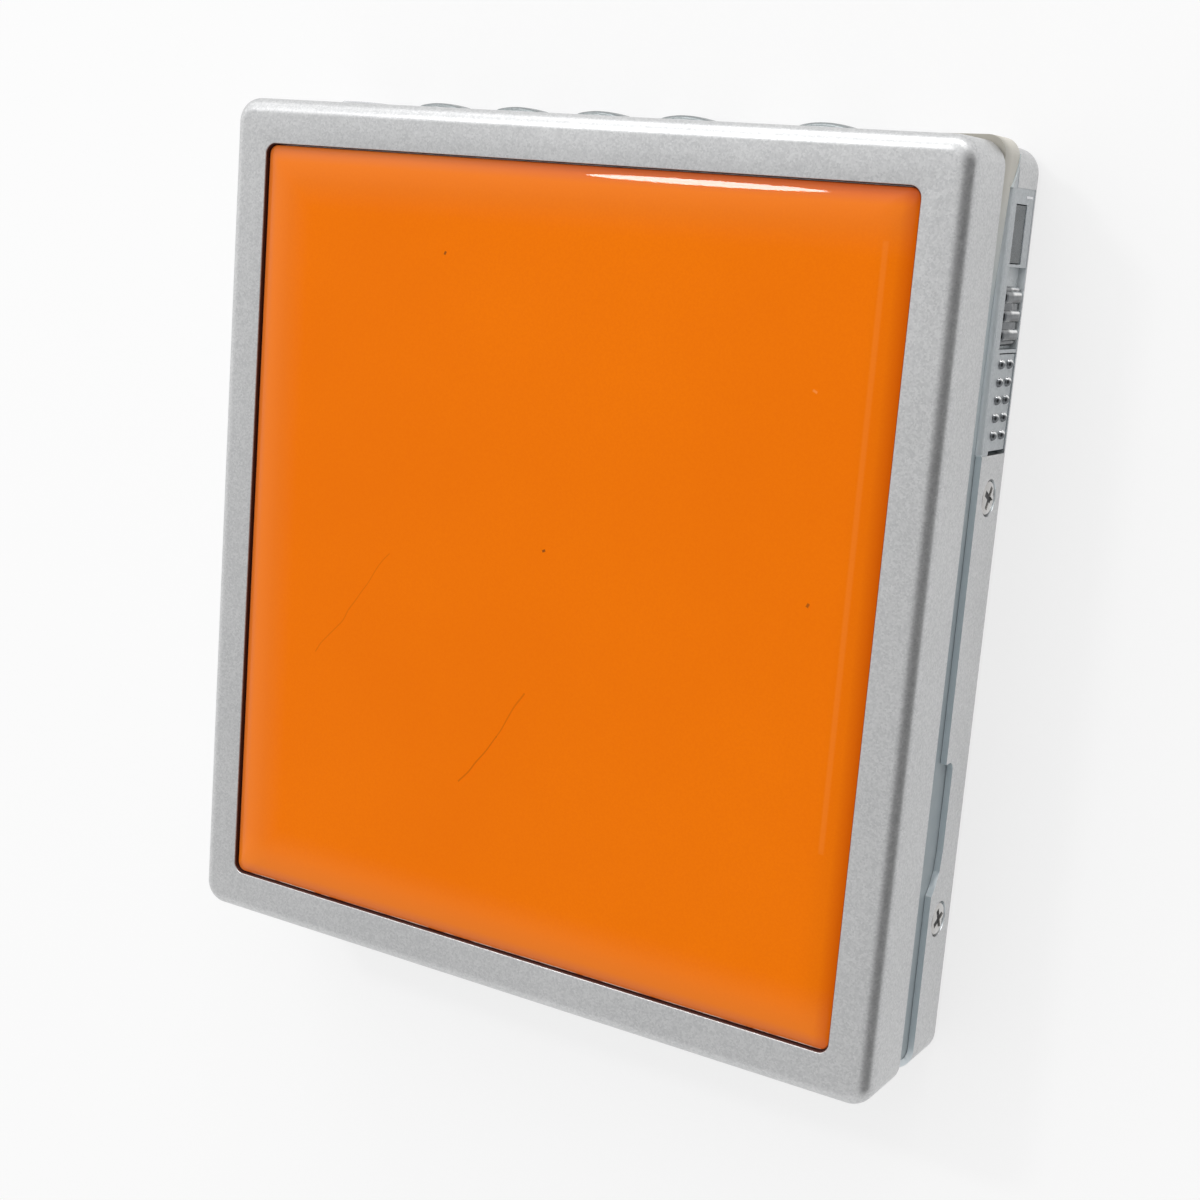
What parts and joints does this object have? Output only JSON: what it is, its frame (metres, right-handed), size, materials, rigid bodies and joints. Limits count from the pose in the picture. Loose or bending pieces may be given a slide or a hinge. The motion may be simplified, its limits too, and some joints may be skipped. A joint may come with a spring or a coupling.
{
  "type": "portable minidisc player",
  "caption": "Slim pocket minidisc player: silver clamshell case with a glossy orange lid panel, hinged lid, swing-up cartridge holder, edge keys, hold slide and open lever.",
  "frame": {"origin": "centre of the flat rear face that the player lies on", "axes": "+X across the lid towards its opening side, +Y towards the edge with the keys, +Z out of the lid"},
  "size_m": [0.072, 0.079, 0.0155],
  "materials": {
    "silver_paint": "fine metallic satin paint",
    "orange_gloss": "deep gloss",
    "tape": "matt",
    "plain_steel": "brushed",
    "spring_steel": "bright",
    "frame_plastic": "satin",
    "panel_plastic": "satin metallic",
    "smoke_lens": "satin",
    "bright_screw": "bright plated",
    "knob_chrome": "dull chrome",
    "black_plastic": "matt",
    "dark_plastic": "satin",
    "board_green": "lacquered",
    "cap_yellow": "gloss",
    "key_silver": "satin metallic",
    "deck_steel": "plated",
    "rubber": "matt",
    "motor_can": "drawn",
    "white_plastic": "satin",
    "magnet": "ground",
    "lens_clear": "polished",
    "brass": "plain",
    "cell_wrap": "shrink film",
    "gold_contact": "plated"
  },
  "bodies": {
    "case": {"mid_frame": "frame_plastic", "rear_shell": "silver_paint", "control_panel": "panel_plastic", "side_window": "smoke_lens", "side_screws": "bright_screw", "rear_screws": "bright_screw", "hinge_pin": "spring_steel", "lid_spring": "spring_steel", "open_lever_pin": "spring_steel", "open_lever_spring": "spring_steel", "hold_switch": "black_plastic", "headphone_jack": "dark_plastic", "main_board": "board_green", "signal_processor": "black_plastic", "small_ics": "black_plastic", "capacitors": "cap_yellow", "key_switches": "black_plastic", "mechanism_deck": "deck_steel", "deck_dampers": "rubber", "deck_screws": "bright_screw", "spindle_motor": "motor_can", "main_guide_shaft": "spring_steel", "sub_guide_shaft": "spring_steel", "sled_motor": "motor_can", "screw_bearing": "brass", "battery_cell": "cell_wrap", "battery_contact": "gold_contact", "battery_door_pin": "spring_steel"},
    "lid": {"lid_frame": "silver_paint", "front_panel": "orange_gloss", "panel_tape": "tape", "panel_stiffener": "plain_steel", "lid_hinge_arms": "plain_steel", "lid_catch": "plain_steel"},
    "holder": {"cartridge_holder": "plain_steel", "cartridge_detent_springs": "spring_steel"},
    "turntable": {"turntable": "white_plastic", "clamp_magnet": "magnet"},
    "sled": {"pickup_sled": "dark_plastic", "objective_lens": "lens_clear"},
    "lead_screw": {"lead_screw": "spring_steel", "sled_rotor": "magnet"},
    "open_lever": {"open_lever": "panel_plastic"},
    "hold_knob": {"hold_knob": "knob_chrome"},
    "battery_door": {"battery_door": "silver_paint", "door_contact": "gold_contact"},
    "volume_down_key": {"volume_down_key": "key_silver"},
    "volume_up_key": {"volume_up_key": "key_silver"},
    "previous_key": {"previous_key": "key_silver"},
    "next_key": {"next_key": "key_silver"},
    "play_key": {"play_key": "key_silver"}
  },
  "joints": [
    {"name": "lid_hinge", "type": "hinge", "parent": "case", "child": "lid", "pos_m": [-0.0336, 0, 0.007], "axis": [0, -1, 0], "range_deg": [0, 30]},
    {"name": "holder_tilt", "type": "hinge", "parent": "case", "child": "holder", "pos_m": [-0.0336, 0, 0.007], "axis": [0, -1, 0], "range_deg": [0, 15]},
    {"name": "spindle_spin", "type": "hinge", "parent": "case", "child": "turntable", "pos_m": [0.00015, 0, 0.0075], "axis": [0, 0, 1], "continuous": true},
    {"name": "sled_slide", "type": "slide", "parent": "case", "child": "sled", "axis": [0, -1, 0], "range_m": [0, 0.014]},
    {"name": "lead_screw_spin", "type": "hinge", "parent": "case", "child": "lead_screw", "pos_m": [-0.01185, -0.022, 0.0045], "axis": [0, -1, 0], "range_deg": [0, 2520]},
    {"name": "open_lever_press", "type": "hinge", "parent": "case", "child": "open_lever", "pos_m": [0.03375, 0.02195, 0.003], "axis": [0, 0, -1], "range_deg": [0, 5], "stiffness_Nm_per_rad": 0.08},
    {"name": "hold_slide", "type": "slide", "parent": "case", "child": "hold_knob", "axis": [0, 1, 0], "range_m": [0, 0.0013]},
    {"name": "battery_door_hinge", "type": "hinge", "parent": "case", "child": "battery_door", "pos_m": [0.01366, -0.03822, 0.004], "axis": [0, 0, -1], "range_deg": [0, 100]},
    {"name": "volume_down_key_press", "type": "slide", "parent": "case", "child": "volume_down_key", "axis": [0, -1, 0], "range_m": [0, 0.0004], "stiffness_N_per_m": 1500},
    {"name": "volume_up_key_press", "type": "slide", "parent": "case", "child": "volume_up_key", "axis": [0, -1, 0], "range_m": [0, 0.0004], "stiffness_N_per_m": 1500},
    {"name": "previous_key_press", "type": "slide", "parent": "case", "child": "previous_key", "axis": [0, -1, 0], "range_m": [0, 0.0004], "stiffness_N_per_m": 1500},
    {"name": "next_key_press", "type": "slide", "parent": "case", "child": "next_key", "axis": [0, -1, 0], "range_m": [0, 0.0004], "stiffness_N_per_m": 1500},
    {"name": "play_key_press", "type": "slide", "parent": "case", "child": "play_key", "axis": [0, -1, 0], "range_m": [0, 0.0004], "stiffness_N_per_m": 1500}
  ],
  "couplings": [
    {"joint": "holder_tilt", "follows": "lid_hinge", "ratio": 0.5},
    {"joint": "lead_screw_spin", "follows": "sled_slide", "rad_per_m": 3141.6}
  ]
}
